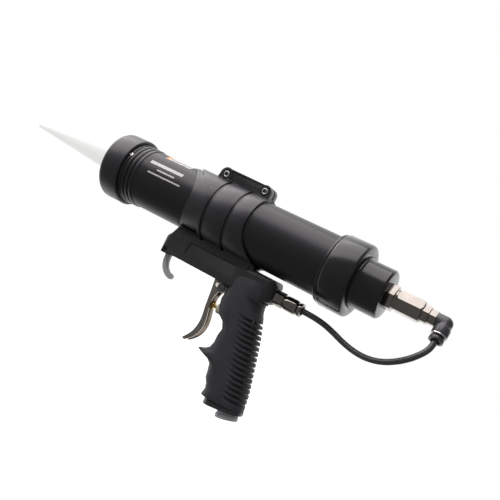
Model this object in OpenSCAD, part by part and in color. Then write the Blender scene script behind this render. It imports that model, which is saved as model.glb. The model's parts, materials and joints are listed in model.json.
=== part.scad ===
// Air-powered caulking gun for a rigid sealant cartridge.
// +X points forward along the barrel to the nozzle, +Y is the gun's left, +Z is up.
// The origin is on the barrel's axis, at the front face of the front cap.

/* [Barrel] */
// Outside diameter of the barrel tube
barrel_od = 56; // [55:0.5:57]
// Wall of the barrel tube
barrel_wall = 2.2; // [2:0.1:2.4]
// Distance from the cap's face back to the barrel's rear end
barrel_reach = 262; // [258:1:266]

/* [Front cap] */
// Outside diameter of the front cap
cap_od = 65; // [64:0.5:66]
// Length of the front cap
cap_len = 23; // [22:0.5:24]
// Diameter of the hole that the nozzle comes out of
cap_hole_d = 26; // [24:1:30]

/* [Cartridge] */
// Outside diameter of the cartridge
cartridge_od = 49.2; // [48:0.2:50]
// Length of the cartridge's body
cartridge_len = 213; // [205:1:214]
// Length of the nozzle in front of the cap
nozzle_len = 116; // [80:1:130]

/* [Rear end] */
// Outside diameter of the rear ring nut
ring_od = 65; // [64.6:0.1:66]
// Length of the rear ring nut
ring_len = 28; // [27.5:0.5:29]
// Diameter of the end plug's rear boss
plug_d = 43.2; // [42:0.2:44]

/* [Clamp and body] */
// Outside diameter of the clamp around the barrel
clamp_od = 61.6; // [61:0.2:62.4]
// Width of the gun body
body_w = 26; // [24:1:28]
// Width of the grip sleeve
grip_w = 30; // [28:1:32]
// Backward lean of the grip in degrees
lean = 14; // [13.5:0.5:14.5]

/* [Trigger] */
// Width of the trigger
trigger_w = 11; // [10.5:0.5:12]
// Thickness of the trigger's sheet
trigger_t = 1.4; // [1.2:0.1:1.6]

/* [Air line] */
// Outside diameter of the air hose
hose_d = 5.3; // [5:0.1:5.4]
// Radius of the threaded hole in the air inlet
inlet_thread_r = 5.9; // [5.6:0.1:6]

/* [Hidden] */
$fn = 96;

eps = 0.01;
run = 0.1;          // radial gap of a sliding or screwed pair
barrel_r = barrel_od / 2;
bore_r = barrel_r - barrel_wall;
cap_r = cap_od / 2;
cap_wall = 4;
washer_t = 1.5;

// Stations along the barrel's axis
barrel_front_x = -6.5;
collar_screw_angle = 26;
collar_screw_r = 1.6;
barrel_rear_x = -barrel_reach;
collar_r = barrel_r + 1.4;
cartridge_front_x = -5.8;
cartridge_rear_x = cartridge_front_x - cartridge_len;
cartridge_r = cartridge_od / 2;
cartridge_bore_r = cartridge_r - 1.3;
plunger_front_x = -198;
neck_r = 7.5;

ring_r = ring_od / 2;
ring_front_x = barrel_rear_x + 21;
ring_rear_x = ring_front_x - ring_len;
plug_r = plug_d / 2;
shoulder_r = plug_r + 1.4;
flange_x = barrel_rear_x - 3;
plug_rear_x = -294;
plug_front_x = -222;

hex_x = -303;
check_x = -325;
stud_x = -338;
elbow_x = -344.6;
hex_turn = -20;      // how far the fittings' hexagons are turned about the axis
leg_tilt = 25;       // how far the elbow's leg is turned from straight down to the left

// Clamp and its two top screws
clamp_r = clamp_od / 2;
clamp_front_x = -103;
clamp_rear_x = -164;
groove_xs = [-124.5, -147.5];
groove_w = 3.2;
groove_depth = 1.3;
ear_w = 16;
flange_r = barrel_r + 1.1;
clamp_bolts = [[-114.6, 34.7], [-156.8, 34.7]];
saddle_w = 12;
body_top_z = -35;
body_bottom_z = -53.5;
body_front_x = -88;
body_rear_x = -208.5;
step_x = -178;       // behind it the body's top stands higher, clear of the clamp
tail_top_z = -30.5;
pocket_depth = 0.8;
body_screw_xs = [-112, -147];
body_screw_y = 9.4;

// Trigger and the air valve behind it
pivot = [-160.6, -58.3];
pin_r = 2;
boss_r = 4.4;        // round end of the trigger about its pin
lug_r = 3.9;
valve_z = -76;
stem_r = 1.5;
gland_end_x = -181.6;
gallery_x = -185.8;
seat_x = -188;
poppet_x = -190.1;
chamber_x = -201.5;
trigger_front = [[-150.5, -54], [-152.2, -66], [-153.8, -79], [-155.7, -92],
    [-153.6, -104], [-147, -113.8]];
trigger_back = [[-150, -114.6], [-156.5, -108.5], [-160.4, -100.5], [-160.8, -91],
    [-158, -79], [-157.2, -70], [-158.6, -64.5]];

// Grip
inlet_end = [-217, -154];
inlet_lip = 1.7;
grip_front = [[-164.6, -53.5], [-164.4, -60], [-163.6, -66], [-165.2, -73], [-168.5, -79.5],
    [-174.5, -83.5], [-177.4, -89.5], [-176.2, -96], [-176.3, -103], [-174.6, -108.6],
    [-171, -111.4], [-165, -113.8], [-171, -116], [-177, -117.6], [-181.2, -120.8],
    [-182.9, -127], [-183.8, -132.4], [-186.6, -136.2], [-188.2, -141], [-187, -147.2], [-189.5, -150]];
grip_back = [[-228.4, -150], [-228.4, -145.7], [-227.3, -137], [-226.1, -129.4], [-224.2, -122],
    [-220.5, -108.7], [-216.4, -93.7], [-212.2, -80.4], [-209.4, -73.5], [-206.8, -67],
    [-204.4, -62.5], [-203, -58], [-203, -53.5]];
grip_r = grip_w / 2;
post_w = 19;
base_screw_side = 16;   // from the grip's leaning axis towards the front
base_screw_y = 5.5;
tooth_pitch = 4.45;
tooth_count = 16;
tooth_gap = 2.3;
tooth_depth = 4;
tooth_top_z = -70;

hook_root = [-94.4, -51.5];
hook_head_y = 11;     // outer end of the hook screw's head

// The handle's rear fitting and the hose between it and the elbow
fitting_z = -43.5;
hose_r = hose_d / 2;
hose_route = concat(
    [[-221.5, 0, -43.5], [-232, 0, -43.5], [-240, 0, -43.5], [-248, 0, -43.8], [-258, 0.1, -45],
        [-268.2, 0.4, -47.5], [-278.4, 1.4, -50.4], [-288.8, 3.2, -52.3], [-299.3, 5.6, -52.7],
        [-309.8, 8.4, -51], [-319.2, 11, -47.4], [-327.3, 12.8, -42.4], [-333.8, 13.6, -37],
        [-338.3, 13.4, -32.1], [-341.7, 12, -27.3], [-343.9, 9.9, -22.2]],
    [for (l = [17.5, 12.5, 4.5]) leg_point(l)]
);

// ---------- helpers ----------

// Solid cylinder along X between two stations
module rod_x(x0, x1, r, sides = 96) {
    translate([min(x0, x1), 0, 0])
        rotate([0, 90, 0])
            cylinder(h = abs(x1 - x0), r = r, $fn = sides);
}

// Ring along X between two stations
module ring_x(x0, x1, outer, inner) {
    difference() {
        rod_x(x0, x1, outer);
        rod_x(min(x0, x1) - 1, max(x0, x1) + 1, inner);
    }
}

// Solid of revolution about X from [radius, x] points
module turned_x(profile) {
    rotate([0, 90, 0])
        rotate_extrude()
            polygon(profile);
}

// Hexagonal prism along X, given by its width across flats
module hex_x_bar(x0, x1, flats, turn = 0) {
    rotate([turn, 0, 0])
        rod_x(x0, x1, flats / sqrt(3), 6);
}

// Plate cut to a side outline of [x, z] points, centred on y = 0
module side_plate(points, width) {
    translate([0, width / 2, 0])
        rotate([90, 0, 0])
            linear_extrude(width)
                polygon(points);
}

// Round pin along Y through [x, z]
module rod_y(at, r, y0, y1, sides = 96) {
    translate([at[0], y1, at[1]])
        rotate([90, 0, 0])
            cylinder(h = y1 - y0, r = r, $fn = sides);
}

// O-ring lying about X with its centre circle at a station
module o_ring_x(x, mid_r, wire_r) {
    translate([x, 0, 0])
        rotate([0, 90, 0])
            rotate_extrude()
                translate([mid_r, 0])
                    circle(r = wire_r, $fn = 24);
}

// Places children on the grip's leaning axis, z = 0 at the inlet's lower end
module on_lean() {
    translate([inlet_end[0], 0, inlet_end[1]])
        rotate([0, lean, 0])
            children();
}

// Places children on the elbow's leg, z = 0 at its horizontal axis
module on_leg() {
    translate([elbow_x, 0, 0])
        rotate([leg_tilt, 0, 0])
            children();
}

// Point on the leg's axis, a distance from the elbow's corner
function leg_point(l) = [elbow_x, l * sin(leg_tilt), -l * cos(leg_tilt)];

// One point of a Catmull-Rom curve between b and c
function curve_at(a, b, c, d, t) =
    0.5 * (2 * b + (c - a) * t + (2 * a - 5 * b + 4 * c - d) * t * t
        + (3 * b - a - 3 * c + d) * t * t * t);

// Smooth curve through the given points
function smooth(p, steps = 4) = [
    for (i = [0 : len(p) - 2])
        for (k = [0 : steps - 1])
            curve_at(p[max(i - 1, 0)], p[i], p[i + 1], p[min(i + 2, len(p) - 1)], k / steps),
    p[len(p) - 1]
];

// Points of an arc about [x, z]
function arc(centre, r, from, to, steps = 12) = [
    for (i = [0 : steps])
        let (ang = from + (to - from) * i / steps)
            [centre[0] + r * cos(ang), centre[1] + r * sin(ang)]
];

// Rectangle with rounded corners, centred
function round_rect(w, h, r, steps = 6) = concat(
    arc([w / 2 - r, h / 2 - r], r, 0, 90, steps),
    arc([r - w / 2, h / 2 - r], r, 90, 180, steps),
    arc([r - w / 2, r - h / 2], r, 180, 270, steps),
    arc([w / 2 - r, r - h / 2], r, 270, 360, steps)
);

// ---------- front end ----------

module nozzle() {
    base_r = cap_hole_d / 2 - 1;
    tip_r = 1.6;
    thread_end_x = 9;
    color("white")
        turned_x([
            [base_r, cartridge_front_x + 0.3], [base_r, 2], [tip_r, nozzle_len],
            [tip_r - 0.8, nozzle_len], [base_r - 4.2, thread_end_x + 5], [base_r - 4.2, thread_end_x],
            [neck_r, thread_end_x], [neck_r, cartridge_front_x + 0.3]
        ]);
}

module cartridge_tube() {
    shoulder_t = 3;
    passage_r = 5;
    color("gainsboro")
        turned_x([
            [cartridge_bore_r, cartridge_rear_x], [cartridge_r, cartridge_rear_x],
            [cartridge_r, cartridge_front_x], [neck_r, cartridge_front_x], [neck_r, 8.5],
            [passage_r, 8.5], [passage_r, cartridge_front_x - shoulder_t],
            [cartridge_bore_r, cartridge_front_x - shoulder_t]
        ]);
}

// Cup-shaped piston that the air pushes along the cartridge
module cartridge_plunger() {
    skirt_r = cartridge_bore_r - run;
    back_x = plunger_front_x - 14;
    color("whitesmoke")
        turned_x([
            [0, plunger_front_x], [skirt_r - 3, plunger_front_x], [skirt_r, plunger_front_x - 3],
            [skirt_r, plunger_front_x - 6], [skirt_r - 1.2, plunger_front_x - 6],
            [skirt_r - 1.2, plunger_front_x - 9], [skirt_r, plunger_front_x - 9],
            [skirt_r, back_x], [skirt_r - 2, back_x], [skirt_r - 2.5, plunger_front_x - 3],
            [0, plunger_front_x - 3]
        ]);
}

// Soft wiping ring in the plunger's groove
module plunger_wiper() {
    groove_r = cartridge_bore_r - run - 1.2;
    color("dimgray")
        ring_x(plunger_front_x - 8.9, plunger_front_x - 6.1, cartridge_bore_r - run, groove_r);
}

module front_cap() {
    color([0.24, 0.23, 0.25])
        turned_x([
            [cap_hole_d / 2, 0], [cap_r - 3.5, 0], [cap_r - 1.2, -0.9], [cap_r - 0.2, -2.8],
            [cap_r, -4.5], [cap_r, -cap_len + 0.6], [cap_r - 0.6, -cap_len],
            [collar_r + run, -cap_len], [collar_r + run, -cap_wall], [cap_hole_d / 2, -cap_wall]
        ]);
}

// Places children on the collar screw's axis, z = 0 at the bottom of its hole
module on_collar_screw() {
    rotate([collar_screw_angle, 0, 0])
        translate([-cap_len - 1.9, barrel_r + 0.3, 0])
            rotate([-90, 0, 0])
                children();
}

// Small screw in the barrel's collar, just behind the cap
module collar_set_screw() {
    color("silver")
        on_collar_screw()
            difference() {
                cylinder(h = 1.6, r = collar_screw_r, $fn = 32);
                translate([0, 0, 0.9])
                    cylinder(h = 3, r = 0.8, $fn = 6);
            }
}

module cap_washer() {
    color("lightgray")
        ring_x(-cap_wall - washer_t, -cap_wall, 24, cap_hole_d / 2 + 0.6);
}

// Tube with a thread collar at the front and a plain thread at the rear
module barrel() {
    ridge = 3.9;
    ridge_pitch = 4.8;
    color([0.22, 0.21, 0.23])
        difference() {
            union() {
                ring_x(barrel_rear_x, barrel_front_x, barrel_r, bore_r);
                ring_x(-cap_len - 2.7, barrel_front_x, collar_r, barrel_r - eps);
                for (i = [0 : 2])
                    ridge_ring(-cap_len - 4.6 - i * ridge_pitch, collar_r - 0.2 * i, ridge);
            }
            on_collar_screw()
                cylinder(h = 3, r = collar_screw_r, $fn = 32);
        }
}

// One rounded ridge behind the front thread
module ridge_ring(x, r, width) {
    turned_x([
        [barrel_r - eps, x - width / 2], [r - 0.5, x - width / 2], [r, x - width / 4],
        [r, x + width / 4], [r - 0.5, x + width / 2], [barrel_r - eps, x + width / 2]
    ]);
}

// Thin blank sticker that wraps the barrel's top
module blank_label() {
    label_arc = 64;
    label_len = 29;
    color("white")
        translate([-82, 0, 0])
            rotate([0, 90, 0])
                rotate([0, 0, 180 - label_arc / 2])
                    rotate_extrude(angle = label_arc)
                        translate([barrel_r, 0])
                            square([0.25, label_len]);
}

// ---------- rear end ----------

module ring_nut() {
    lip_x = flange_x - washer_t - 0.1;
    color([0.22, 0.21, 0.23])
        turned_x([
            [barrel_r + run, ring_front_x], [ring_r - 2.6, ring_front_x],
            [ring_r - 1.2, ring_front_x - 0.8],
            [ring_r - 1, ring_front_x - 2.4], [ring_r - 1.5, ring_front_x - 2.9],
            [ring_r - 1, ring_front_x - 3.4], [ring_r, ring_front_x - 5.2],
            [ring_r, ring_rear_x + 2.5], [ring_r - 0.7, ring_rear_x + 0.8], [ring_r - 2.5, ring_rear_x],
            [shoulder_r + 0.4, ring_rear_x], [shoulder_r + 0.4, lip_x], [barrel_r + run, lip_x]
        ]);
}

module ring_washer() {
    color("lightgray")
        ring_x(flange_x - washer_t, flange_x, barrel_r - 0.2, shoulder_r + 0.4);
}

// Closes the barrel: spigot with an O-ring groove, flange and long rear boss
module end_plug() {
    spigot_r = bore_r - 0.1;
    groove_r = spigot_r - 2.4;
    color([0.2, 0.19, 0.21])
        difference() {
            turned_x([
                [0, plug_front_x], [spigot_r, plug_front_x], [spigot_r, -244], [groove_r, -244],
                [groove_r, -247.2], [spigot_r, -247.2], [spigot_r, barrel_rear_x],
                [barrel_r - 0.2, barrel_rear_x], [barrel_r - 0.2, flange_x], [shoulder_r, flange_x],
                [shoulder_r, ring_rear_x - 1.2], [plug_r, ring_rear_x - 2],
                [plug_r, plug_rear_x + 1.5], [plug_r - 1.5, plug_rear_x], [0, plug_rear_x]
            ]);
            rod_x(plug_rear_x - 1, plug_rear_x + 14, 6);
            rod_x(plug_rear_x, plug_front_x + 1, 3);
        }
}

module plug_o_ring() {
    color("black")
        o_ring_x(-245.6, bore_r - 1.25, 1.15);
}

// Flat ring that seals the cartridge's rear rim
module cartridge_seal() {
    color("saddlebrown")
        ring_x(plug_front_x, cartridge_rear_x, cartridge_r, cartridge_bore_r - 4);
}

// ---------- check valve and elbow on the rear end ----------

module hex_reducer() {
    color("silver")
        difference() {
            union() {
                hex_x_bar(hex_x + 2, plug_rear_x, 20, hex_turn);
                rod_x(hex_x, hex_x + 3, 8.6);
                rod_x(plug_rear_x - eps, plug_rear_x + 11, 6);
            }
            rod_x(hex_x - 1, hex_x + 5, 5);
            rod_x(hex_x, plug_rear_x + 12, 2.5);
        }
}

module check_valve_body() {
    color("silver")
        difference() {
            union() {
                intersection() {
                    hex_x_bar(check_x, hex_x, 17, hex_turn);
                    turned_x([[0, hex_x], [8.6, hex_x], [9.8, hex_x - 1.2], [9.8, check_x + 1.2],
                        [8.6, check_x], [0, check_x]]);
                }
                rod_x(hex_x - eps, hex_x + 5, 5);
            }
            rod_x(check_x - 1, hex_x - 4, 5.2);
            rod_x(check_x, hex_x + 6, 2.5);
        }
}

// Disc that lifts off its seat when air flows to the barrel
module check_poppet() {
    seat_x = check_x + 7;
    color("goldenrod")
        union() {
            rod_x(seat_x, seat_x + 2.4, 4.2);
            rod_x(seat_x + 2.4 - eps, seat_x + 5, 1.6);
        }
}

module check_spring() {
    color("lightsteelblue")
        for (i = [0 : 3])
            o_ring_x(check_x + 10.3 + i * 2.25, 3.4, 0.45);
}

// Screws into the valve body's rear end and holds the poppet's seat
module check_valve_cap() {
    color("silver")
        difference() {
            union() {
                hex_x_bar(check_x - 6, check_x, 14, hex_turn);
                rod_x(check_x - eps, check_x + 6.8, 5.2);
            }
            rod_x(check_x - 7, check_x + 7.8, 2.5);
            rod_x(check_x - 7, check_x - 1, 4);
        }
}

module elbow_stud() {
    flange_end = check_x - 6;
    color("silver")
        difference() {
            union() {
                hex_x_bar(stud_x + 1, flange_end, 12, hex_turn);
                rod_x(flange_end - eps, check_x - 1.2, 4);
                rod_x(elbow_x + 4, stud_x + 2, 3.4);
            }
            rod_x(elbow_x, check_x, 2);
        }
}

module elbow_body() {
    arm_r = 6.1;
    leg_r = 6.9;
    color([0.17, 0.17, 0.19])
        difference() {
            union() {
                rod_x(elbow_x, stud_x + 1, arm_r);
                on_leg()
                    sphere(r = arm_r);
                on_leg()
                    rotate_extrude()
                        polygon([[0, 0], [arm_r, 0], [arm_r, -3.5], [leg_r, -5], [leg_r, -12], [0, -12]]);
            }
            rod_x(elbow_x + 4, stud_x + 3, 3.4);
            rod_x(elbow_x, stud_x, 2);
            on_leg()
                translate([0, 0, -13])
                    cylinder(h = 9, r = 4.6);
            on_leg()
                translate([0, 0, -7])
                    cylinder(h = 7, r = 2);
        }
}

module elbow_clamp_ring() {
    color("white")
        on_leg()
            translate([0, 0, -13.2])
                difference() {
                    cylinder(h = 1.2, r = 7.1);
                    translate([0, 0, -1])
                        cylinder(h = 4, r = 4.6);
                }
}

// Toothed ring that bites on the hose, on either fitting
module grab_ring() {
    difference() {
        cylinder(h = 0.8, r = 4.5);
        translate([0, 0, -1])
            cylinder(h = 3, r = hose_r);
    }
}

module elbow_grab_ring() {
    color("silver")
        on_leg()
            translate([0, 0, -8.2])
                grab_ring();
}

module hose_o_ring() {
    rotate_extrude()
        translate([hose_r + 0.85, 0])
            circle(r = 0.85, $fn = 24);
}

module elbow_o_ring() {
    color("black")
        on_leg()
            translate([0, 0, -6])
                hose_o_ring();
}

// Push-in release collar: a sleeve round the hose with a flange to press on
module release_collar() {
    difference() {
        union() {
            translate([0, 0, -5])
                cylinder(h = 5, r = 4.5);
            translate([0, 0, -8])
                cylinder(h = 2.8, r = 6.1);
            translate([0, 0, -8.3])
                cylinder(h = 4, r = 4.5);
        }
        translate([0, 0, -10])
            cylinder(h = 11, r = hose_r + run);
        translate([0, 0, -8.4])
            cylinder(h = 5.4, r1 = 4, r2 = hose_r + run);
    }
}

module elbow_collar() {
    color([0.12, 0.12, 0.14])
        on_leg()
            translate([0, 0, -9.4])
                release_collar();
}

// ---------- hose and handle fitting ----------

hose_line = smooth(hose_route, 2);
hose_sides = 12;

// Unit direction of the hose's line at point i
function hose_dir(i) =
    i == 0 ? [-1, 0, 0]
    : i == len(hose_line) - 1 ? leg_point(0) - leg_point(1)
    : (hose_line[i + 1] - hose_line[i - 1]) / norm(hose_line[i + 1] - hose_line[i - 1]);

// Ring of points about the hose's line at point i
function hose_ring(i) =
    let (d = hose_dir(i), across = [0, 1, 0] - d[1] * d, side = across / norm(across), up = cross(d, side))
        [for (k = [0 : hose_sides - 1])
            let (ang = 360 * k / hose_sides)
                hose_line[i] + hose_r * (cos(ang) * side + sin(ang) * up)];

module air_hose() {
    rings = len(hose_line);
    points = [for (i = [0 : rings - 1]) each hose_ring(i)];
    walls = [for (i = [0 : rings - 2], k = [0 : hose_sides - 1])
        let (n = (k + 1) % hose_sides)
            [i * hose_sides + k, i * hose_sides + n, (i + 1) * hose_sides + n, (i + 1) * hose_sides + k]];
    first = [for (k = [0 : hose_sides - 1]) hose_sides - 1 - k];
    last = [for (k = [0 : hose_sides - 1]) (rings - 1) * hose_sides + k];
    color([0.13, 0.13, 0.14])
        polyhedron(points = points, faces = concat(walls, [first, last]));
}

// Places children on the handle fitting's axis
module on_fitting() {
    translate([0, 0, fitting_z])
        children();
}

// Rear-facing push-in fitting: thread, hex and round barrel in one piece
module handle_fitting() {
    color("silver")
        on_fitting()
            difference() {
                union() {
                    rod_x(body_rear_x - eps, body_rear_x + 8, 4.3);
                    hex_x_bar(-217, body_rear_x, 12);
                    turned_x([[0, -216], [5.2, -216], [5.2, -218], [6.1, -218.4], [6.6, -220],
                        [6.6, -228.5], [5.8, -230.5], [0, -230.5]]);
                }
                rod_x(-217, body_rear_x + 9, 2);
                rod_x(-224.2, -216, hose_r - 0.5);
                rod_x(-232, -221, 4.6);
            }
}

// Turns a piece made along Z so that it lies on the fitting's axis, flange to the rear
module fitting_pose(x) {
    translate([x, 0, fitting_z])
        rotate([0, 90, 0])
            children();
}

module fitting_o_ring() {
    color("black")
        fitting_pose(-222.6)
            hose_o_ring();
}

module fitting_grab_ring() {
    color("silver")
        fitting_pose(-225.6)
            grab_ring();
}

module fitting_collar() {
    color([0.12, 0.12, 0.14])
        fitting_pose(-226.8)
            release_collar();
}

// ---------- clamp ----------

// Side outline of the clamp: waisted front edge, and a rear edge that runs out along the body
function clamp_outline() = concat(
    arc([clamp_front_x + 30, 0], 30, 105, 180),
    arc([clamp_front_x + 76, 0], 76, 180, 208),
    [[clamp_front_x + 10, -40], [step_x + 0.2, -40], [step_x + 0.2, tail_top_z + 0.2]],
    arc([clamp_rear_x - 35, 2], 35, -60, 0),
    [[clamp_rear_x, 45]]
);

// Ear along the top of one clamp half, with a boss for each screw
function ear_outline() = concat(
    [[clamp_bolts[1][0] - 6, 26]],
    arc(clamp_bolts[1], 6, 180, 65),
    arc(clamp_bolts[0], 6.5, 112, 0),
    [[clamp_bolts[0][0] + 8, 26]]
);

// Left half, side = 1; right half, side = -1
module clamp_half(side) {
    difference() {
        union() {
            intersection() {
                rod_x(-190, -85, clamp_r);
                side_plate(clamp_outline(), 80);
            }
            side_plate(ear_outline(), ear_w);
            intersection() {
                clamp_feet();
                side_plate(clamp_outline(), 80);
            }
        }
        rod_x(-200, -80, barrel_r);
        for (x = groove_xs)
            ring_x(x - groove_w / 2, x + groove_w / 2, clamp_r + 1, clamp_r - groove_depth);
        clamp_front_step();
        translate([-200, side > 0 ? -50 : -0.8, -50])
            cube([120, 50.8, 120]);
        translate([-200, -saddle_w / 2, -45])
            cube([120, saddle_w, 40]);
        clamp_drillings(side);
        ear_pocket(side);
        body_screw_shanks();
    }
}

// Cut that thins the clamp's front flange, back to a curved step
module clamp_front_step() {
    intersection() {
        ring_x(groove_xs[0], -70, clamp_r + 1, flange_r);
        rod_y([-73, -15], 48, -40, 40);
        translate([groove_xs[0], -40, -26])
            cube([60, 80, 60]);
    }
}

// Solid feet that fill the corner between the barrel and the gun body
module clamp_feet() {
    translate([-190, -body_w / 2, body_top_z])
        cube([100, body_w, 16]);
}

// Shallow recess between the two bosses of one half's ear, under a thin rim
module ear_pocket(side) {
    depth = 0.8;
    floor_z = 31.5;
    rim_z = 39.2;
    span = clamp_bolts[0][0] - clamp_bolts[1][0];
    difference() {
        translate([clamp_bolts[1][0], side > 0 ? ear_w / 2 - depth : -ear_w / 2 - 1, floor_z])
            cube([span, depth + 1, rim_z - floor_z]);
        for (b = clamp_bolts)
            rod_y(b, 5.6, -10, 10);
    }
}

// Screw clearance and head recesses on the left, nut pockets on the right
module clamp_drillings(side) {
    for (b = clamp_bolts) {
        rod_y(b, 2.1, -20, 20);
        rod_y(b, side > 0 ? 4.2 : 4.1, side > 0 ? 4.6 : -20, side > 0 ? 20 : -4.6, side > 0 ? 96 : 6);
    }
}

module clamp_left() {
    color([0.25, 0.24, 0.26])
        clamp_half(1);
}

module clamp_right() {
    color([0.25, 0.24, 0.26])
        clamp_half(-1);
}

// Two socket screws across the clamp's ears, heads on the left
module clamp_screws() {
    color("silver")
        for (b = clamp_bolts)
            difference() {
                union() {
                    rod_y(b, 3.5, 4.6, 8.2);
                    rod_y(b, 2, -8, 4.7);
                }
                rod_y(b, 1.8, 6.2, 9, 6);
            }
}

module clamp_nuts() {
    color("silver")
        for (b = clamp_bolts)
            difference() {
                rod_y(b, 3.9, -7.6, -4.6, 6);
                rod_y(b, 2, -9, 0);
            }
}

// ---------- gun body ----------

// Side outline of the body's beam
function beam_outline() = [
    [body_front_x - 6.5, body_top_z], [body_front_x - 0.8, -40.5], [body_front_x, -43],
    [body_front_x - 0.6, -48], [body_front_x - 2, -54.8], [-99, -54.6], [-106, body_bottom_z],
    [-200, body_bottom_z], [body_rear_x + 1.5, -50.6], [body_rear_x, -48], [body_rear_x, -35.5],
    [body_rear_x + 5, tail_top_z], [step_x - 2, tail_top_z], [step_x, tail_top_z - 2],
    [step_x, body_top_z]
];

module beam() {
    intersection() {
        side_plate(beam_outline(), body_w);
        translate([-210, 0, (body_top_z + body_bottom_z) / 2])
            rotate([90, 0, 90])
                linear_extrude(130)
                    polygon(round_rect(body_w, 26, 4));
        translate([0, 0, -70])
            linear_extrude(60)
                polygon(beam_plan());
    }
}

// The beam seen from above: rounded nose, and a tail that narrows to the rear fitting
function beam_plan() = concat(
    arc([body_front_x - 8, body_w / 2 - 8], 8, 0, 90, 8),
    arc([body_rear_x + 10, body_w / 2 - 10], 10, 90, 180, 8),
    arc([body_rear_x + 10, 10 - body_w / 2], 10, 180, 270, 8),
    arc([body_front_x - 8, 8 - body_w / 2], 8, 270, 360, 8)
);

// Narrow seat under the barrel, between the clamp's halves
module saddle() {
    difference() {
        translate([-176, -saddle_w / 2, body_top_z - eps])
            cube([76, saddle_w, 12]);
        rod_x(-200, -80, barrel_r);
    }
}

// Post inside the grip, which carries the air passages and the valve
module post() {
    side_plate(post_outline(), post_w);
}

// A point [side, up] of the leaning frame, side being towards the front
function lean_point(side, up) =
    inlet_end + side * [cos(lean), -sin(lean)] + up * [sin(lean), cos(lean)];

function post_outline() = [[-173, -50], lean_point(21.5, 13), lean_point(-5.5, 13), [-198, -50]];

// Ear below the beam that carries the trigger's pin
module pivot_lug() {
    rod_y(pivot, lug_r, -lug_r, lug_r);
    translate([pivot[0] - lug_r, -lug_r, pivot[1]])
        cube([2 * lug_r, 2 * lug_r, 8]);
}

module body_screw_shanks() {
    for (x = body_screw_xs, y = [-body_screw_y, body_screw_y])
        translate([x, y, body_bottom_z - 1])
            cylinder(h = 28, r = 1.6, $fn = 32);
}

module gun_body() {
    color([0.23, 0.23, 0.24])
        difference() {
            union() {
                beam();
                saddle();
                post();
                pivot_lug();
            }
            rod_y(pivot, pin_r + 0.05, -10, 10);
            body_screw_shanks();
            for (x = body_screw_xs, y = [-body_screw_y, body_screw_y])
                translate([x, y, body_bottom_z - 1])
                    cylinder(h = 4, r = 3.1, $fn = 32);
            valve_bores();
            on_lean()
                translate([0, 0, 12])
                    cylinder(h = 14, r = 5);
            on_lean()
                translate([0, 0, 12])
                    cylinder(h = 67, r = 2.2);
            hook_socket();
            base_screw_holes();
            for (side = [-1, 1])
                beam_pocket(side);
        }
}

// Shallow recess in one side of the beam, open at the top
module beam_pocket(side) {
    cutter = 8;
    translate([0, side * (body_w / 2 - pocket_depth + cutter / 2), 0])
        side_plate([[-114.5, -46.5], [-117, -34], [-166, -34], [-168, -46.5]], cutter);
}

// Valve chamber, and the passage from it up to the rear fitting
module valve_bores() {
    on_valve()
        rod_x(-170, chamber_x, 5);
    translate([gallery_x, 0, valve_z])
        cylinder(h = fitting_z - valve_z, r = 1.8);
    on_fitting()
        rod_x(gallery_x + 1, body_rear_x - 1, 1.8);
    on_fitting()
        rod_x(body_rear_x + 8, body_rear_x - 1, 4.3);
}

module body_screws() {
    color("silver")
        for (x = body_screw_xs, y = [-body_screw_y, body_screw_y])
            translate([x, y, body_bottom_z])
                difference() {
                    union() {
                        cylinder(h = 2.8, r = 2.9, $fn = 32);
                        cylinder(h = 24, r = 1.6, $fn = 32);
                    }
                    translate([0, 0, -1])
                        cylinder(h = 2.6, r = 1.4, $fn = 6);
                }
}

// Curved guard in front of the trigger, as a [x, z] centre line
hook_line = smooth([[-94.4, -48.8], [-94.2, -55], [-94.8, -61.5], [-97.4, -67], [-101.6, -70.6],
    [-106, -72.2]], 4);
hook_half_t = 2.6;

// Outline that runs down one side of a centre line and back up the other
function thick_line(line, half) = concat(
    [for (i = [0 : len(line) - 1]) line[i] + half * line_side(line, i)],
    [for (i = [len(line) - 1 : -1 : 0]) line[i] - half * line_side(line, i)]
);
function line_side(line, i) =
    let (d = line[min(i + 1, len(line) - 1)] - line[max(i - 1, 0)])
        [-d[1], d[0]] / norm(d);

module finger_hook() {
    tip = hook_line[len(hook_line) - 1];
    color([0.42, 0.42, 0.45])
        difference() {
            union() {
                side_plate(thick_line(hook_line, hook_half_t), 2 * hook_half_t);
                rod_y(tip, hook_half_t, -hook_half_t, hook_half_t);
            }
            rod_y(hook_root, 1.5, -10, 10);
        }
}

// Slot in the beam's underside that the hook's root sits in
module hook_socket() {
    translate([hook_root[0] - 2.9, -2.7, -60])
        cube([5.8, 5.4, 11.6]);
    rod_y(hook_root, 1.5, -20, 20);
    rod_y(hook_root, 3, hook_head_y - 2.2, 20);
}

module hook_screw() {
    color("silver")
        difference() {
            union() {
                rod_y(hook_root, 1.5, -11, hook_head_y - 2.1);
                rod_y(hook_root, 2.9, hook_head_y - 2.2, hook_head_y);
            }
            rod_y(hook_root, 1.2, hook_head_y - 1.4, 20, 6);
        }
}

// ---------- trigger ----------

trigger_skin = smooth(trigger_front, 5);

// Outline of one cheek of the trigger, from its front edge back round the pivot
function cheek_outline() = concat(
    trigger_skin,
    smooth(trigger_back, 4),
    arc(pivot, boss_r, 285, 90),
    [[-155, -54]]
);

module trigger() {
    cheek = cheek_outline();
    color([0.6, 0.56, 0.52])
        difference() {
            union() {
                difference() {
                    side_plate(cheek, trigger_w);
                    side_plate(cheek, trigger_w - 2 * trigger_t);
                }
                side_plate(concat(trigger_skin,
                    [for (i = [len(trigger_skin) - 1 : -1 : 0]) trigger_skin[i] - [1.6, 0]]), trigger_w);
            }
            rod_y(pivot, pin_r + 0.05, -10, 10);
            trigger_window();
        }
}

// Crescent opening between the trigger's front sheet and its boss
module trigger_window() {
    difference() {
        rod_y([-155.4, -57.6], 2.4, -10, 10);
        rod_y(pivot, boss_r, -11, 11);
    }
}

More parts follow.
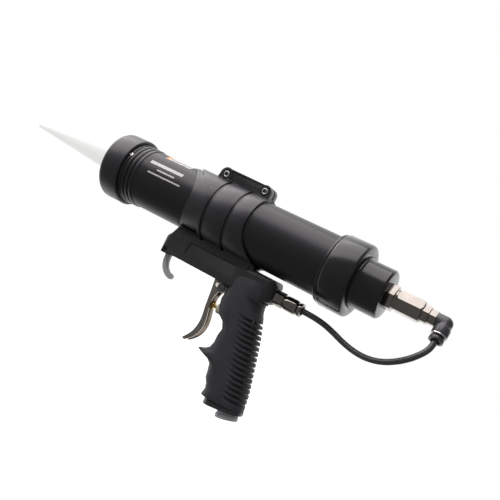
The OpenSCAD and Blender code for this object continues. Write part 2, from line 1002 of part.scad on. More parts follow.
module trigger_pin() {
    color("silver")
        difference() {
            union() {
                rod_y(pivot, pin_r, -7.4, 6);
                rod_y(pivot, 3.6, 5.7, 7.6);
            }
            ring_y_groove();
            translate([pivot[0] - 5, 6.9, pivot[1] - 0.4])
                cube([10, 2, 0.8]);
        }
}

// Groove near the pin's plain end, for its clip
module ring_y_groove() {
    difference() {
        rod_y(pivot, 3, -6.7, -6);
        rod_y(pivot, 1.5, -8, -5);
    }
}

module pin_clip() {
    color("dimgray")
        difference() {
            rod_y(pivot, 3.6, -6.6, -6.1);
            rod_y(pivot, 1.5, -8, -5);
            translate([pivot[0], -8, pivot[1] - 1.2])
                cube([5, 3, 2.4]);
        }
}

// ---------- air valve ----------

module on_valve() {
    translate([0, 0, valve_z])
        children();
}

// Push rod with a domed head that the trigger presses
module valve_stem() {
    head_x = -155.3;
    color("goldenrod")
        on_valve()
            turned_x([[0, head_x], [1.6, head_x - 0.2], [2.9, head_x - 1], [3.6, head_x - 2.4],
                [3.6, head_x - 4], [3, head_x - 4.6], [stem_r, head_x - 4.6],
                [stem_r, poppet_x - 2.7], [0, poppet_x - 2.7]]);
}

module gland_nut() {
    color("ivory")
        on_valve()
            difference() {
                turned_x([[0, -163.6], [4.2, -163.6], [4.8, -164.2], [4.8, -180], [5, -180],
                    [5, gland_end_x], [0, gland_end_x]]);
                rod_x(-190, -150, stem_r + 0.05);
            }
}

module stem_seal() {
    color("black")
        on_valve()
            ring_x(gland_end_x - 2, gland_end_x, 5, stem_r + 0.05);
}

module valve_seat() {
    color("goldenrod")
        on_valve()
            ring_x(seat_x - 2, seat_x, 5, 2.6);
}

module valve_poppet() {
    color("black")
        on_valve()
            ring_x(poppet_x - 2.7, poppet_x, 4.2, stem_r);
}

module valve_spring() {
    color("lightsteelblue")
        on_valve()
            for (i = [0 : 3])
                o_ring_x(poppet_x - 3.3 - i * 2.45, 3.2, 0.45);
}

// ---------- grip ----------

// Level cross-section of the sleeve: flat sides and half-round front and back
function sleeve_ring(z, inset) =
    let (front = lookup(z, [for (p = grip_front) [p[1], p[0]]]),
        back = lookup(z, [for (p = grip_back) [p[1], p[0]]]) + inset)
        concat(
            [for (a = [-90 : 15 : 90]) [front - grip_r + grip_r * cos(a), grip_r * sin(a), z]],
            [for (a = [90 : 15 : 270]) [back + grip_r + grip_r * cos(a), grip_r * sin(a), z]]
        );

// Sleeve without its slots or hollows, its back moved forward by the inset
module sleeve_blank(inset = 0) {
    levels = [for (p = smooth(grip_front, 2)) p[1]];
    rings = [for (z = levels) sleeve_ring(z, inset)];
    n = len(rings[0]);
    last = (len(rings) - 1) * n;
    polyhedron(
        points = [for (r = rings) each r],
        faces = concat(
            [for (i = [0 : len(rings) - 2], k = [0 : n - 1])
                [i * n + k, i * n + (k + 1) % n, (i + 1) * n + (k + 1) % n, (i + 1) * n + k]],
            [[for (k = [0 : n - 1]) n - 1 - k], [for (k = [0 : n - 1]) last + k]]
        )
    );
}

// Slots across the back that leave a row of teeth
module tooth_slots() {
    difference() {
        for (i = [0 : tooth_count - 1])
            translate([-260, -20, tooth_top_z - i * tooth_pitch - tooth_gap])
                cube([80, 40, tooth_gap]);
        sleeve_blank(tooth_depth);
    }
}

// Walls of the sleeve that stand up beside the beam, with a rounded top
module sleeve_cheeks() {
    outline = concat(
        [[-171.5, -54.5]],
        arc([-181.5, -49.5], 10, 0, 75),
        arc([-195.5, -43.5], 5.5, 80, 180),
        [[-201, -54.5]]
    );
    intersection() {
        side_plate(outline, grip_w);
        translate([0, 0, -60])
            linear_extrude(30)
                polygon(concat(arc([-179.6, 0], grip_r, -90, 90), arc([-191, 0], grip_r, 90, 270)));
    }
}

// Space that the beam takes between the sleeve's walls
module beam_room() {
    translate([-215, -body_w / 2 - 0.05, body_bottom_z])
        cube([70, body_w + 0.1, 40]);
}

module grip_sleeve() {
    color([0.2, 0.2, 0.22])
        difference() {
            union() {
                sleeve_blank();
                sleeve_cheeks();
            }
            beam_room();
            side_plate([[-170, -148], [-240, -143.6], [-240, -160], [-170, -160]], 40);
            sleeve_hollow();
            tooth_slots();
        }
}

// Room for the post, the inlet, the gland and the trigger's pivot
module sleeve_hollow() {
    side_plate(post_outline(), post_w);
    on_lean()
        translate([0, 0, -5])
            cylinder(h = 18, r = 9.2);
    on_valve()
        rod_x(-150, -185, 4.8);
    rod_y(pivot, 6, -6, 6);
    rod_y(pivot, 4, -20, 20);
    translate([pivot[0] - lug_r, -lug_r, pivot[1]])
        cube([10, 2 * lug_r, 8]);
    base_screw_holes();
}

// Plate that holds the sleeve on the post from below
module grip_base() {
    plate = [[-188, -148.1], [-192.8, -149], [-193.8, -152.8], [-228.6, -147.4], [-228, -144.5]];
    color([0.18, 0.18, 0.19])
        difference() {
            intersection() {
                side_plate(plate, grip_w - 3);
                translate([-210.4, 0, -160])
                    linear_extrude(20)
                        polygon(round_rect(37, grip_w - 3, 13.4, 10));
            }
            on_lean()
                translate([0, 0, -5])
                    cylinder(h = 25, r = 9.2);
            base_screw_holes();
        }
}

module base_screw_holes() {
    for (y = [-base_screw_y, base_screw_y])
        on_lean()
            translate([base_screw_side, y, -2]) {
                cylinder(h = 28.2, r = 1.3, $fn = 32);
                cylinder(h = 9.6, r = 2.7, $fn = 32);
            }
}

module base_screws() {
    color("silver")
        for (y = [-base_screw_y, base_screw_y])
            on_lean()
                translate([base_screw_side, y, 6])
                    difference() {
                        union() {
                            cylinder(h = 20, r = 1.3, $fn = 32);
                            cylinder(h = 1.6, r = 2.5, $fn = 32);
                        }
                        translate([0, 0, -1])
                            cylinder(h = 1.8, r = 1, $fn = 6);
                    }
}

// Female threaded air inlet, screwed into the post's lower end
module inlet_bushing() {
    color([0.62, 0.62, 0.65])
        on_lean()
            difference() {
                union() {
                    cylinder(h = 12, r = 9.2);
                    cylinder(h = 24, r = 5);
                    translate([0, 0, -inlet_lip])
                        cylinder(h = inlet_lip + 2.2, r = 10.2);
                }
                translate([0, 0, -inlet_lip - 1])
                    cylinder(h = inlet_lip + 12, r = inlet_thread_r);
                cylinder(h = 30, r = 2.2);
            }
}

module bushing_seal() {
    color("black")
        on_lean()
            translate([0, 0, 12])
                difference() {
                    cylinder(h = 1, r = 7.5);
                    translate([0, 0, -1])
                        cylinder(h = 3, r = 5);
                }
}

// ---------- every sub-part ----------

nozzle();
cartridge_tube();
cartridge_plunger();
plunger_wiper();
front_cap();
cap_washer();
collar_set_screw();
barrel();
blank_label();
clamp_left();
clamp_right();
clamp_screws();
clamp_nuts();
ring_nut();
ring_washer();
end_plug();
plug_o_ring();
cartridge_seal();
hex_reducer();
check_valve_body();
check_poppet();
check_spring();
check_valve_cap();
elbow_stud();
elbow_body();
elbow_clamp_ring();
elbow_grab_ring();
elbow_o_ring();
elbow_collar();
air_hose();
handle_fitting();
fitting_o_ring();
fitting_grab_ring();
fitting_collar();
gun_body();
body_screws();
finger_hook();
hook_screw();
trigger();
trigger_pin();
pin_clip();
valve_stem();
gland_nut();
stem_seal();
valve_seat();
valve_poppet();
valve_spring();
grip_sleeve();
grip_base();
base_screws();
inlet_bushing();
bushing_seal();
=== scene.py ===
"""Looks of the air-powered caulking gun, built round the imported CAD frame. Sizes are in millimetres
inside the builders and become metres when a mesh is made."""
import json
import math
import bmesh
import bpy
from mathutils import Matrix, Vector

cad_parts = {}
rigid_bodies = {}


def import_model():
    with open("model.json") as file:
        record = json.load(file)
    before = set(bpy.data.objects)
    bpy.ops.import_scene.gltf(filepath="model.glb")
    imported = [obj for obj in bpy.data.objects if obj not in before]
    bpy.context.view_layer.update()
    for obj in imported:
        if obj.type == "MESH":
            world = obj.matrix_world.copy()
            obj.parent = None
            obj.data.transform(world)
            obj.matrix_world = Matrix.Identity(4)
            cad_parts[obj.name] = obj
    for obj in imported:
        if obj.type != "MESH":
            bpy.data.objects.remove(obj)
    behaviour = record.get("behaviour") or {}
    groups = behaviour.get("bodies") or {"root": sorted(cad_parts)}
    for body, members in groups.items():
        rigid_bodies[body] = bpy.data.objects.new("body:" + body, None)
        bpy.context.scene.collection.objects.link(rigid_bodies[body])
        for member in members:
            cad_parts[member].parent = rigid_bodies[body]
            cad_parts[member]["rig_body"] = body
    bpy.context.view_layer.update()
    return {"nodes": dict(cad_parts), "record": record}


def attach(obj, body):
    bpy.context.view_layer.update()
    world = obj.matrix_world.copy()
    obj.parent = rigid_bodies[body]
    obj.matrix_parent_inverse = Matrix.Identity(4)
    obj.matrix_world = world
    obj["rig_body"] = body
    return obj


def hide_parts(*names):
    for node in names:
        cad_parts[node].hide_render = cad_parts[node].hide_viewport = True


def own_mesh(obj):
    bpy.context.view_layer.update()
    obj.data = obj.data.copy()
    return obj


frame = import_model()
NODES = frame["nodes"]
MM = 0.001

# ---------- camera ----------

VIEW_RIGHT = Vector((-0.8112, -0.3720, 0.4512))
VIEW_UP = Vector((0.4101, 0.1881, 0.8924))
VIEW_FORWARD = Vector((0.4168, -0.9090, 0.0))
CAMERA_AT = Vector((-0.4263, 0.5678, -0.0173))
LENS_MM = 50.7
SENSOR_MM = 36
GUN_MIDDLE = Vector((-0.165, 0.0, -0.03))


def add_camera():
    """Puts the camera at the viewing angle, with the gun tilted in the picture."""
    data = bpy.data.cameras.new("camera")
    data.sensor_width = SENSOR_MM
    data.lens = LENS_MM
    data.clip_start = 0.01
    camera = bpy.data.objects.new("camera", data)
    bpy.context.scene.collection.objects.link(camera)
    turn = Matrix((VIEW_RIGHT, VIEW_UP, -VIEW_FORWARD)).transposed()
    camera.matrix_world = Matrix.Translation(CAMERA_AT) @ turn.to_4x4()
    bpy.context.scene.camera = camera


# ---------- materials ----------

def set_range(node, from_min, from_max, to_min, to_max):
    """Fills in a Map Range node."""
    node.inputs["From Min"].default_value = from_min
    node.inputs["From Max"].default_value = from_max
    node.inputs["To Min"].default_value = to_min
    node.inputs["To Max"].default_value = to_max


class Shader:
    """A Principled material and short ways to add nodes to it."""

    def __init__(self, name, roughness, metallic=0.0, specular=0.5):
        self.material = bpy.data.materials.new(name)
        self.material.use_nodes = True
        self.tree = self.material.node_tree
        self.main = self.tree.nodes["Principled BSDF"]
        self.main.inputs["Roughness"].default_value = roughness
        self.main.inputs["Metallic"].default_value = metallic
        self.main.inputs["Specular IOR Level"].default_value = specular
        self.place = self.tree.nodes.new("ShaderNodeTexCoord").outputs["Object"]

    def noise(self, size_mm, detail=3.0, stretch=(1, 1, 1)):
        """Noise whose features are about size_mm across."""
        mapping = self.tree.nodes.new("ShaderNodeMapping")
        mapping.inputs["Scale"].default_value = stretch
        noise = self.tree.nodes.new("ShaderNodeTexNoise")
        noise.inputs["Scale"].default_value = 1 / (size_mm * MM)
        noise.inputs["Detail"].default_value = detail
        self.tree.links.new(self.place, mapping.inputs["Vector"])
        self.tree.links.new(mapping.outputs["Vector"], noise.inputs["Vector"])
        return noise.outputs["Fac"]

    def span(self, value, low, high, low_in=0.3, high_in=0.7):
        """Value mapped from low_in..high_in to low..high."""
        node = self.tree.nodes.new("ShaderNodeMapRange")
        set_range(node, low_in, high_in, low, high)
        self.tree.links.new(value, node.inputs["Value"])
        return node.outputs["Result"]

    def mix(self, factor, a, b):
        """Colour between a and b, either of which may be another node's output."""
        node = self.tree.nodes.new("ShaderNodeMix")
        node.data_type = "RGBA"
        self.tree.links.new(factor, node.inputs["Factor"])
        for socket, colour in ((node.inputs[6], a), (node.inputs[7], b)):
            if isinstance(colour, tuple):
                socket.default_value = (*colour, 1)
            else:
                self.tree.links.new(colour, socket)
        return node.outputs[2]

    def worn_edges(self, strength):
        """Mask that rises on outward edges, broken up by noise."""
        geometry = self.tree.nodes.new("ShaderNodeNewGeometry")
        edge = self.span(geometry.outputs["Pointiness"], 0.0, 1.0, 0.53, 0.62)
        patchy = self.span(self.noise(WEAR_PATCH_MM, 5.0), 0.0, strength, 0.45, 0.65)
        node = self.tree.nodes.new("ShaderNodeMath")
        node.operation = "MULTIPLY"
        self.tree.links.new(edge, node.inputs[0])
        self.tree.links.new(patchy, node.inputs[1])
        return node.outputs[0]

    def bump(self, height, depth_mm):
        """Relief whose full height is depth_mm."""
        node = self.tree.nodes.new("ShaderNodeBump")
        node.inputs["Distance"].default_value = depth_mm * MM
        self.tree.links.new(height, node.inputs["Height"])
        self.tree.links.new(node.outputs["Normal"], self.main.inputs["Normal"])

    def link(self, value, socket):
        """Drives one of the shader's own sockets."""
        self.tree.links.new(value, self.main.inputs[socket])

    def shine(self, colour, strength):
        """Light of the surface's own."""
        self.main.inputs["Emission Color"].default_value = colour
        self.main.inputs["Emission Strength"].default_value = strength


TONE_PATCH_MM = 9.0
GLOSS_PATCH_MM = 5.0
WEAR_PATCH_MM = 3.0
WEAR_STRENGTH = 0.55
# Colour of the painted light that a surface may give out of its own
PAINTED_GLOW_COLOUR = (1, 1, 0.985, 1)


def surface(name, colour, tone, roughness, rough_range, grain_mm, grain_depth_mm,
            metallic=0.0, specular=0.5, wear=None, stretch=(1, 1, 1), painted_glow=0.0):
    """General finish: two close tones, uneven gloss, fine grain, and worn edges in a third colour.
    Painted light: the surface may be made to give out light of its own, standing in for the light that
    thin milky plastic passes on from all round."""
    s = Shader(name, roughness, metallic, specular)
    mottled = s.mix(s.span(s.noise(TONE_PATCH_MM), 0, 1), colour, tone)
    if wear:
        mottled = s.mix(s.worn_edges(WEAR_STRENGTH), mottled, wear)
    s.link(mottled, "Base Color")
    gloss_patches = s.noise(GLOSS_PATCH_MM, 4.0, stretch)
    s.link(s.span(gloss_patches, roughness - rough_range, roughness + rough_range), "Roughness")
    s.bump(s.noise(grain_mm, 2.0, stretch), grain_depth_mm)
    # Painted light: the surface shines by itself, whatever the lamps do
    if painted_glow:
        s.shine(PAINTED_GLOW_COLOUR, painted_glow)
    return s.material


ALONG_BARREL = (0.04, 1, 1)
LOOKS = {
    "anodised": dict(
        colour=(0.015, 0.0146, 0.0172), tone=(0.019, 0.0185, 0.0213), roughness=0.36,
        rough_range=0.04, grain_mm=0.5, grain_depth_mm=0.006, wear=(0.04, 0.04, 0.04),
        stretch=ALONG_BARREL),
    "smooth_anodised": dict(
        colour=(0.015, 0.0147, 0.0168), tone=(0.019, 0.0187, 0.0208), roughness=0.22,
        rough_range=0.03, grain_mm=0.5, grain_depth_mm=0.005, wear=(0.06, 0.06, 0.06)),
    "coated_metal": dict(
        colour=(0.019, 0.0182, 0.0212), tone=(0.025, 0.0242, 0.0275), roughness=0.38,
        rough_range=0.05, grain_mm=0.35, grain_depth_mm=0.008, specular=0.6,
        wear=(0.06, 0.06, 0.06)),
    "cast_black": dict(
        colour=(0.024, 0.0235, 0.0265), tone=(0.031, 0.0305, 0.034), roughness=0.48,
        rough_range=0.06, grain_mm=0.5, grain_depth_mm=0.03, wear=(0.06, 0.06, 0.06)),
    "grip": dict(
        colour=(0.042, 0.041, 0.047), tone=(0.052, 0.051, 0.058), roughness=0.58, rough_range=0.06,
        grain_mm=0.45, grain_depth_mm=0.03, specular=0.4),
    "grey_metal": dict(
        colour=(0.60, 0.595, 0.62), tone=(0.68, 0.67, 0.70), roughness=0.40, rough_range=0.05,
        grain_mm=0.6, grain_depth_mm=0.02, wear=(0.25, 0.25, 0.25)),
    "nickel": dict(
        colour=(0.30, 0.28, 0.25), tone=(0.255, 0.235, 0.21), roughness=0.16, rough_range=0.05,
        grain_mm=2.0, grain_depth_mm=0.01, metallic=1.0),
    "polished_nickel": dict(
        colour=(0.46, 0.42, 0.385), tone=(0.38, 0.34, 0.31), roughness=0.12, rough_range=0.05,
        grain_mm=3.0, grain_depth_mm=0.015, metallic=1.0),
    "bright_ring": dict(
        colour=(0.72, 0.70, 0.70), tone=(0.62, 0.60, 0.60), roughness=0.30, rough_range=0.05,
        grain_mm=1.0, grain_depth_mm=0.006, metallic=1.0),
    # Painted light: the nozzle's milky plastic gives out light of its own over a low base colour, so it
    # looks evenly lit from all round
    "milky_plastic_painted_glow": dict(
        colour=(0.10, 0.10, 0.098), tone=(0.13, 0.13, 0.128), roughness=0.50, rough_range=0.05,
        grain_mm=1.5, grain_depth_mm=0.01, specular=0.2, painted_glow=0.70),
    "brass": dict(
        colour=(0.62, 0.43, 0.17), tone=(0.50, 0.34, 0.13), roughness=0.25, rough_range=0.07,
        grain_mm=0.6, grain_depth_mm=0.006, metallic=1.0),
    "dark_steel": dict(
        colour=(0.16, 0.16, 0.17), tone=(0.22, 0.22, 0.23), roughness=0.28, rough_range=0.06,
        grain_mm=0.5, grain_depth_mm=0.006, metallic=1.0),
    "spring_steel": dict(
        colour=(0.62, 0.62, 0.64), tone=(0.50, 0.50, 0.52), roughness=0.25, rough_range=0.05,
        grain_mm=0.4, grain_depth_mm=0.004, metallic=1.0),
    "black_plastic": dict(
        colour=(0.045, 0.044, 0.050), tone=(0.056, 0.055, 0.062), roughness=0.30, rough_range=0.06,
        grain_mm=1.2, grain_depth_mm=0.01),
    "rubber": dict(
        colour=(0.015, 0.015, 0.015), tone=(0.022, 0.022, 0.021), roughness=0.70, rough_range=0.06,
        grain_mm=0.4, grain_depth_mm=0.02, specular=0.3),
    "ivory_plastic": dict(
        colour=(0.66, 0.60, 0.45), tone=(0.70, 0.65, 0.51), roughness=0.42, rough_range=0.05,
        grain_mm=0.8, grain_depth_mm=0.01),
    "white_plastic": dict(
        colour=(0.80, 0.80, 0.78), tone=(0.84, 0.84, 0.82), roughness=0.42, rough_range=0.06,
        grain_mm=1.5, grain_depth_mm=0.015),
    "label": dict(
        colour=(0.50, 0.50, 0.50), tone=(0.56, 0.56, 0.56), roughness=0.38, rough_range=0.05,
        grain_mm=0.8, grain_depth_mm=0.004),
    "orange_ink": dict(
        colour=(0.75, 0.30, 0.06), tone=(0.80, 0.36, 0.09), roughness=0.40, rough_range=0.05,
        grain_mm=0.8, grain_depth_mm=0.004),
    "grey_ink": dict(
        colour=(0.15, 0.15, 0.16), tone=(0.20, 0.20, 0.21), roughness=0.40, rough_range=0.05,
        grain_mm=0.8, grain_depth_mm=0.004),
    "pale_ink": dict(
        colour=(0.55, 0.53, 0.52), tone=(0.65, 0.63, 0.62), roughness=0.45, rough_range=0.06,
        grain_mm=0.8, grain_depth_mm=0.006),
    "hose": dict(
        colour=(0.060, 0.060, 0.062), tone=(0.075, 0.075, 0.077), roughness=0.26, rough_range=0.05,
        grain_mm=1.0, grain_depth_mm=0.006, specular=0.6, stretch=(0.3, 1, 0.3)),
}
FINISH = {name: surface(name, **look) for name, look in LOOKS.items()}
SLOT_OF = {part["node"]: part["material_slot"] for part in frame["record"]["subparts"]}
# Nodes whose look differs from the rest of their slot
FINISH_OF = {
    "ring_nut": "smooth_anodised", "end_plug": "smooth_anodised", "hook_screw": "cast_black",
    "nozzle": "milky_plastic_painted_glow", "trigger": "polished_nickel", "elbow_clamp_ring": "bright_ring",
    "collar_set_screw": "bright_ring", "inlet_bushing": "grey_metal",
}


def paint(piece, finish):
    """Gives a piece one finish in place of whatever it had."""
    piece.data.materials.clear()
    piece.data.materials.append(FINISH[finish])


# ---------- mesh helpers ----------

def new_piece(name, mesh, body, slot, *stands_for, finish=None):
    """Links a finished mesh as a piece of one body, with its finish."""
    piece = bpy.data.objects.new(name, mesh)
    bpy.context.scene.collection.objects.link(piece)
    paint(piece, finish or slot)
    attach(piece, body)
    if stands_for:
        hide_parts(*stands_for)
    return piece


def smooth_by_angle(mesh, degrees):
    """Smooth shading, kept sharp across edges steeper than the angle."""
    mesh.polygons.foreach_set("use_smooth", [True] * len(mesh.polygons))
    bm = bmesh.new()
    bm.from_mesh(mesh)
    for edge in bm.edges:
        edge.smooth = not edge.is_manifold or edge.calc_face_angle(0) < math.radians(degrees)
    bm.to_mesh(mesh)
    bm.free()


SHARP_DEGREES = 35
JOIN_MM = 0.002
FLAT_DEGREES = 0.6


def add_softened(node, width_mm):
    """Stands for a CAD node with a copy whose flat faces are joined and edges rounded over."""
    mesh = NODES[node].data.copy()
    mesh.name = node + "_soft"
    bm = bmesh.new()
    bm.from_mesh(mesh)
    bmesh.ops.remove_doubles(bm, verts=bm.verts, dist=JOIN_MM * MM)
    flat = math.radians(FLAT_DEGREES)
    bmesh.ops.dissolve_limit(bm, angle_limit=flat, verts=bm.verts, edges=bm.edges)
    bm.to_mesh(mesh)
    bm.free()
    piece = new_piece(node + "_soft", mesh, NODES[node]["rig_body"], SLOT_OF[node], node,
                      finish=FINISH_OF.get(node))
    bevel = piece.modifiers.new("rounding", "BEVEL")
    bevel.width = width_mm * MM
    bevel.segments = 2
    bevel.limit_method = "ANGLE"
    bevel.angle_limit = math.radians(SHARP_DEGREES)
    bevel.use_clamp_overlap = True
    bake_modifiers(piece)
    smooth_by_angle(piece.data, SHARP_DEGREES)


def finished_mesh(bm, name):
    """Mesh from a bmesh that is no longer needed."""
    mesh = bpy.data.meshes.new(name)
    bm.to_mesh(mesh)
    bm.free()
    return mesh


def swept_mesh(name, rings, endless=False):
    """Closed mesh through rings of points, each joined to the next. Its ends are filled, or meet."""
    bm = bmesh.new()
    loops = [[bm.verts.new(point) for point in ring] for ring in rings]
    count = len(loops[0])
    following = loops[1:] + loops[:1] if endless else loops[1:]
    for a, b in zip(loops, following):
        for k in range(count):
            bm.faces.new((a[k], a[(k + 1) % count], b[(k + 1) % count], b[k]))
    if not endless:
        bm.faces.new(loops[0][::-1])
        bm.faces.new(loops[-1])
    bmesh.ops.recalc_face_normals(bm, faces=bm.faces)
    return finished_mesh(bm, name)


def curved_patch(name, x_span, angles, radius_mm, thickness_mm=0.06, steps=24):
    """Closed thin shell round the barrel's axis, between two stations and two angles from +Y."""
    back, front = x_span
    outer_mm = radius_mm + thickness_mm
    corners = [(back, radius_mm), (front, radius_mm), (front, outer_mm), (back, outer_mm)]
    rings = []
    for i in range(steps + 1):
        angle = math.radians(angles[0] + (angles[1] - angles[0]) * i / steps)
        rings.append([(x * MM, r * math.cos(angle) * MM, r * math.sin(angle) * MM) for x, r in corners])
    return swept_mesh(name, rings)


def bake_modifiers(piece):
    """Replaces the piece's mesh by its modified one."""
    bpy.context.view_layer.update()
    seen = piece.evaluated_get(bpy.context.evaluated_depsgraph_get())
    mesh = bpy.data.meshes.new_from_object(seen)
    piece.modifiers.clear()
    piece.data = mesh


# ---------- pieces ----------

HOSE_D = 5.3
ELBOW_X = -344.6
LEG_TILT = math.radians(25)
HOSE_ROUTE = [
    (-221.5, 0, -43.5), (-232, 0, -43.5), (-240, 0, -43.5), (-248, 0, -43.8), (-258, 0.1, -45),
    (-268.2, 0.4, -47.5), (-278.4, 1.4, -50.4), (-288.8, 3.2, -52.3), (-299.3, 5.6, -52.7),
    (-309.8, 8.4, -51), (-319.2, 11, -47.4), (-327.3, 12.8, -42.4), (-333.8, 13.6, -37),
    (-338.3, 13.4, -32.1), (-341.7, 12, -27.3), (-343.9, 9.9, -22.2),
]
HOSE_ROUTE += [(ELBOW_X, l * math.sin(LEG_TILT), -l * math.cos(LEG_TILT)) for l in (17.5, 12.5, 4.5)]


def add_hose():
    """The air line, along the CAD route."""
    points = catmull_rom([Vector(p) for p in HOSE_ROUTE], 4)
    curve = bpy.data.curves.new("hose", "CURVE")
    curve.dimensions = "3D"
    curve.bevel_depth = HOSE_D / 2 * MM
    curve.bevel_resolution = 6
    curve.use_fill_caps = True
    spline = curve.splines.new("POLY")
    spline.points.add(len(points) - 1)
    for target, point in zip(spline.points, points):
        target.co = (*(point * MM), 1)
    spline.use_smooth = True
    hose = bpy.data.objects.new("hose", curve)
    bpy.context.scene.collection.objects.link(hose)
    curve.materials.append(FINISH["hose"])
    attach(hose, "gun")
    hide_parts("air_hose")


def catmull_rom(points, steps):
    """Smooth line through the points, with steps stretches between each pair."""
    padded = [points[0] * 2 - points[1], *points, points[-1] * 2 - points[-2]]
    line = []
    for a, b, c, d in zip(padded, padded[1:], padded[2:], padded[3:]):
        for i in range(steps):
            t = i / steps
            line.append(0.5 * (2 * b + (c - a) * t + (2 * a - 5 * b + 4 * c - d) * t ** 2
                               + (3 * b - a - 3 * c + d) * t ** 3))
    line.append(points[-1])
    return line


BARREL_R = 28.0
LABEL_R = BARREL_R + 0.25
PRINT_SINK = 0.03


def add_print():
    """Blank bars in place of lettering: on the sticker, and along the barrel's left side."""
    marks = [
        ("label_front_band", (-56.5, -53.2), (58.5, 121.5), LABEL_R, "orange_ink"),
        ("label_side_band", (-81.5, -57), (62, 66), LABEL_R, "grey_ink"),
        ("label_middle_band", (-78, -62), (84, 98), LABEL_R, "grey_ink"),
        ("barrel_bar_wide", (-84, -46), (29, 36), BARREL_R, "pale_ink"),
        ("barrel_bar_short", (-78, -58), (19, 22), BARREL_R, "pale_ink"),
        ("barrel_bar_long", (-88, -50), (9, 12), BARREL_R, "pale_ink"),
    ]
    for name, x_span, angles, radius, ink in marks:
        mesh = curved_patch(name, x_span, angles, radius - PRINT_SINK)
        new_piece(name, mesh, "gun", "label", finish=ink)


CLAMP_BOLTS = ((-114.6, 34.7), (-156.8, 34.7))
RIM_Y = 8.1
RIM_R = 2.3
RIM_WIRE_R = 0.55
RIM_SIDES = 12
RIM_STEPS = 32


def add_screw_rims():
    """Bright rounded rims round the hexagonal sockets of the clamp's screws."""
    for number, (x, z) in enumerate(CLAMP_BOLTS, 1):
        rings = []
        for i in range(RIM_STEPS):
            about = math.tau * i / RIM_STEPS
            ring = []
            for k in range(RIM_SIDES):
                across = math.tau * k / RIM_SIDES
                r = RIM_R + RIM_WIRE_R * math.cos(across)
                y = RIM_Y + RIM_WIRE_R * math.sin(across)
                point = Vector((x + r * math.cos(about), y, z + r * math.sin(about)))
                ring.append(point * MM)
            rings.append(ring)
        mesh = swept_mesh(f"screw_rim_{number}", rings, endless=True)
        smooth_by_angle(mesh, 60)
        new_piece(mesh.name, mesh, "gun", "spring_steel", finish="bright_ring")


def add_coil(node, x_span, z, mid_r, wire_r, turns, sides=10, steps=24):
    """Helical spring along X, with a flat turn at each end, in place of a CAD node's plain rings."""
    rings = []
    total = (turns + 2) * steps
    for i in range(total + 1):
        turn = i / steps
        along = min(max((turn - 1) / turns, 0), 1)
        x = x_span[0] + (x_span[1] - x_span[0]) * along
        about = math.tau * turn
        ring = []
        for k in range(sides):
            r = mid_r + wire_r * math.cos(math.tau * k / sides)
            point = Vector((x + wire_r * math.sin(math.tau * k / sides), r * math.cos(about),
                            z + r * math.sin(about)))
            ring.append(point * MM)
        rings.append(ring)
    mesh = swept_mesh(node + "_coil", rings)
    smooth_by_angle(mesh, 40)
    return new_piece(mesh.name, mesh, NODES[node]["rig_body"], SLOT_OF[node], node)


VALVE_Z = -76
SPRING_WIRE_R = 0.45


def add_springs():
    """The springs behind the two poppets, as coils with meshes of their own."""
    springs = [
        ("check_spring", "check_lift", 2.0, (-314.7, -307.95), 0, 3.4),
        ("valve_spring", "stem_push", 3.6, (-193.4, -200.75), VALVE_Z, 3.2),
    ]
    for node, joint, travel, x_span, z, mid_r in springs:
        coil = add_coil(node, x_span, z, mid_r, SPRING_WIRE_R, 3)
        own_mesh(coil)


# Rounding in millimetres
SOFT_EDGES = {
    "front_cap": 0.5, "barrel": 0.25, "ring_nut": 0.5, "end_plug": 0.4, "clamp_left": 0.8,
    "clamp_right": 0.8, "gun_body": 0.7, "finger_hook": 1.6, "trigger": 0.35, "hex_reducer": 0.3,
    "check_valve_body": 0.35, "check_valve_cap": 0.3, "elbow_stud": 0.25, "elbow_body": 0.25,
    "elbow_clamp_ring": 0.2, "elbow_collar": 0.3, "handle_fitting": 0.3, "fitting_collar": 0.3,
    "nozzle": 0.25, "grip_base": 0.6, "inlet_bushing": 0.4, "clamp_screws": 0.25, "clamp_nuts": 0.2,
    "hook_screw": 0.2, "trigger_pin": 0.25, "valve_stem": 0.15, "gland_nut": 0.15,
    "grip_sleeve": 0.35,
}


def add_soft_edges():
    """Rounded copies of the nodes whose edges the light picks out."""
    for node, width in SOFT_EDGES.items():
        add_softened(node, width)


def finish_cad_nodes():
    """Every CAD node gets its slot's material and tidy shading."""
    for node, obj in NODES.items():
        paint(obj, FINISH_OF.get(node, SLOT_OF[node]))
        smooth_by_angle(obj.data, SHARP_DEGREES)


# ---------- stage ----------

FLOOR_HALF_M = 3.0
FLOOR_Z_M = -0.20
FLOOR_GLOW = 0.85


def add_floor():
    """Plain pale floor that neither lights the gun nor shows in its gloss."""
    half = FLOOR_HALF_M
    corners = [(-half, -half, 0), (half, -half, 0), (half, half, 0), (-half, half, 0)]
    mesh = bpy.data.meshes.new("floor")
    mesh.from_pydata(corners, [], [(0, 1, 2, 3)])
    floor = bpy.data.objects.new("floor", mesh)
    floor.location = (GUN_MIDDLE.x, 0, FLOOR_Z_M)
    bpy.context.scene.collection.objects.link(floor)
    s = Shader("floor", 0.9, 0.0, 0.2)
    s.link(s.mix(s.span(s.noise(60.0), 0, 1), (0.40, 0.40, 0.40), (0.42, 0.42, 0.42)), "Base Color")
    s.bump(s.noise(2.0), 0.05)
    s.shine((1, 1, 1, 1), FLOOR_GLOW)
    mesh.materials.append(s.material)
    floor.visible_glossy = False
    floor.visible_diffuse = False


SOFTBOX_TOWARD = Vector((0.417, 0.204, 0.886))
SOFTBOX_DISTANCE_M = 1.1
SOFTBOX_LONG_M = 1.8
SOFTBOX_SHORT_M = 1.4
SOFTBOX_WATTS = 24
SOFTBOX_COLOUR = (1.0, 0.945, 0.975)


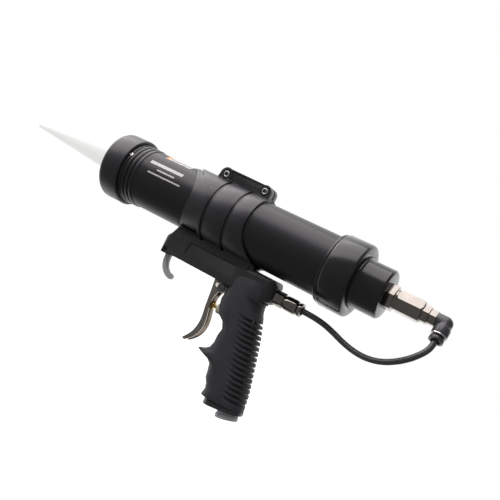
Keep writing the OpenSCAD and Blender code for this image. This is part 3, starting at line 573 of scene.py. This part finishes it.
def add_softbox():
    """Soft box above the gun, a little to its front and left, its long side along the barrel."""
    data = bpy.data.lights.new("softbox", "AREA")
    data.shape = "RECTANGLE"
    data.size = SOFTBOX_LONG_M
    data.size_y = SOFTBOX_SHORT_M
    data.energy = SOFTBOX_WATTS
    data.color = SOFTBOX_COLOUR
    light = bpy.data.objects.new("softbox", data)
    bpy.context.scene.collection.objects.link(light)
    away = SOFTBOX_TOWARD.normalized()
    along = (Vector((1, 0, 0)) - away * away.x).normalized()
    turn = Matrix((along, away.cross(along), away)).transposed()
    light.matrix_world = Matrix.Translation(GUN_MIDDLE + away * SOFTBOX_DISTANCE_M) @ turn.to_4x4()


ROOM_STRENGTH = 0.2
BACKDROP_STRENGTH = 1.4
BACKDROP_STARTS = 0.15
BACKDROP_FULL = 0.6


def add_world():
    """White to the camera. To the gun, a pale backdrop on its far side and a dim room in front."""
    world = bpy.data.worlds.new("studio")
    world.use_nodes = True
    tree = world.node_tree
    background = tree.nodes["Background"]
    background.inputs["Color"].default_value = (1, 1, 1, 1)
    ahead = tree.nodes.new("ShaderNodeVectorMath")
    ahead.operation = "DOT_PRODUCT"
    ahead.inputs[1].default_value = VIEW_FORWARD
    room = tree.nodes.new("ShaderNodeMapRange")
    set_range(room, BACKDROP_STARTS, BACKDROP_FULL, ROOM_STRENGTH, BACKDROP_STRENGTH)
    direction = tree.nodes.new("ShaderNodeTexCoord").outputs["Generated"]
    tree.links.new(direction, ahead.inputs[0])
    tree.links.new(ahead.outputs["Value"], room.inputs["Value"])
    seen = tree.nodes.new("ShaderNodeLightPath").outputs["Is Camera Ray"]
    strength = tree.nodes.new("ShaderNodeMapRange")
    strength.inputs["To Max"].default_value = 1.0
    tree.links.new(seen, strength.inputs["Value"])
    tree.links.new(room.outputs["Result"], strength.inputs["To Min"])
    tree.links.new(strength.outputs["Result"], background.inputs["Strength"])
    bpy.context.scene.world = world
    bpy.context.scene.view_settings.view_transform = "Standard"


add_camera()
add_hose()
finish_cad_nodes()
add_soft_edges()
add_print()
add_screw_rims()
add_springs()
add_floor()
add_world()
add_softbox()
